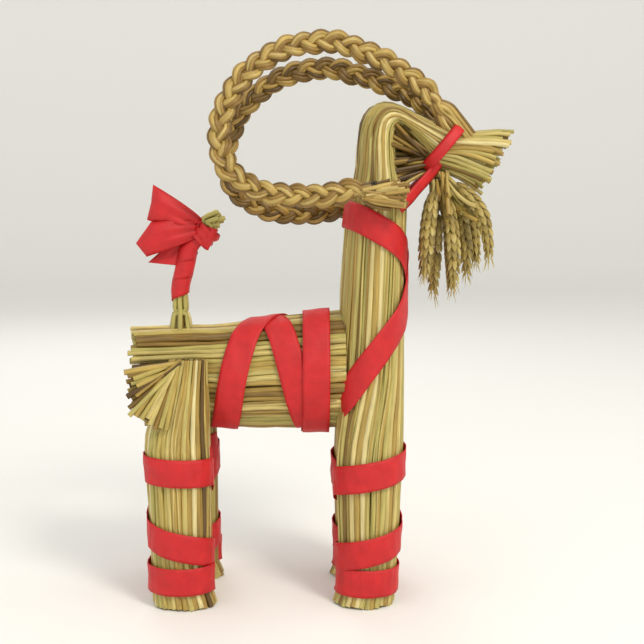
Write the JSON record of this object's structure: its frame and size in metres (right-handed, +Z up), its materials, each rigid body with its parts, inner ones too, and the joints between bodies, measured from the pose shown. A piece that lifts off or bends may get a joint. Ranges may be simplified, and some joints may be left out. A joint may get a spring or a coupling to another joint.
{
  "type": "straw yule goat",
  "caption": "Standing goat of bound straw bundles with looped plaited horns, a wheat-ear beard, red ribbon lacing and a bow on the tail.",
  "frame": {"origin": "bottom centre of the goat, on the plane its feet stand on, halfway between left and right", "axes": "+Z up, +X the way the goat looks, +Y to its left"},
  "size_m": [0.166, 0.059, 0.24],
  "materials": {
    "straw": "dry natural straw, satin",
    "plaited_straw": "plaited dry straw, satin",
    "wheat_ear": "dry wheat ear, matt",
    "ribbon": "woven red ribbon, soft satin",
    "binding_wire": "thin annealed wire"
  },
  "bodies": {
    "goat": {"front_bundle_left": "straw", "front_bundle_right": "straw", "head_fold": "straw", "snout_fan": "straw", "trunk_bundle": "straw", "rump_layer": "straw", "haunch_left": "straw", "haunch_right": "straw", "hind_leg_left": "straw", "hind_leg_right": "straw", "horn_plait_left": "plaited_straw", "horn_plait_right": "plaited_straw", "horn_tuft_left": "plaited_straw", "horn_tuft_right": "plaited_straw", "muzzle_wire": "binding_wire", "neck_wire": "binding_wire", "trunk_wire": "binding_wire", "horn_wire_left": "binding_wire", "horn_wire_right": "binding_wire", "ankle_wire_front_left": "binding_wire", "ankle_wire_front_right": "binding_wire", "ankle_wire_hind_left": "binding_wire", "ankle_wire_hind_right": "binding_wire", "muzzle_ribbon": "ribbon", "throat_ribbon_left": "ribbon", "throat_ribbon_right": "ribbon", "neck_lacing_left": "ribbon", "neck_lacing_right": "ribbon", "girth_ribbon": "ribbon", "trunk_lacing_left": "ribbon", "trunk_lacing_right": "ribbon", "leg_ribbon_front_left": "ribbon", "leg_ribbon_front_right": "ribbon", "leg_ribbon_hind_left": "ribbon", "leg_ribbon_hind_right": "ribbon"},
    "tail": {"tail_straws": "straw", "tail_wire": "binding_wire", "tail_ribbon": "ribbon", "bow_knot": "ribbon", "bow_loop_upper": "ribbon", "bow_loop_lower": "ribbon", "bow_end": "ribbon"},
    "beard": {"wheat_ear_1": "wheat_ear", "wheat_ear_2": "wheat_ear", "wheat_ear_3": "wheat_ear", "wheat_ear_4": "wheat_ear", "wheat_ear_5": "wheat_ear", "wheat_ear_6": "wheat_ear", "wheat_ear_7": "wheat_ear", "wheat_ear_8": "wheat_ear", "beard_wire": "binding_wire"}
  },
  "joints": [
    {"name": "tail_flex", "type": "hinge", "parent": "goat", "child": "tail", "pos_m": [-0.061, 0, 0.124], "axis": [0, 1, 0], "range_deg": [-12, 12], "stiffness_Nm_per_rad": 0.03},
    {"name": "beard_sway", "type": "hinge", "parent": "goat", "child": "beard", "pos_m": [0.0505, 0, 0.1825], "axis": [0, 1, 0], "range_deg": [-9, 3], "stiffness_Nm_per_rad": 0.03}
  ]
}
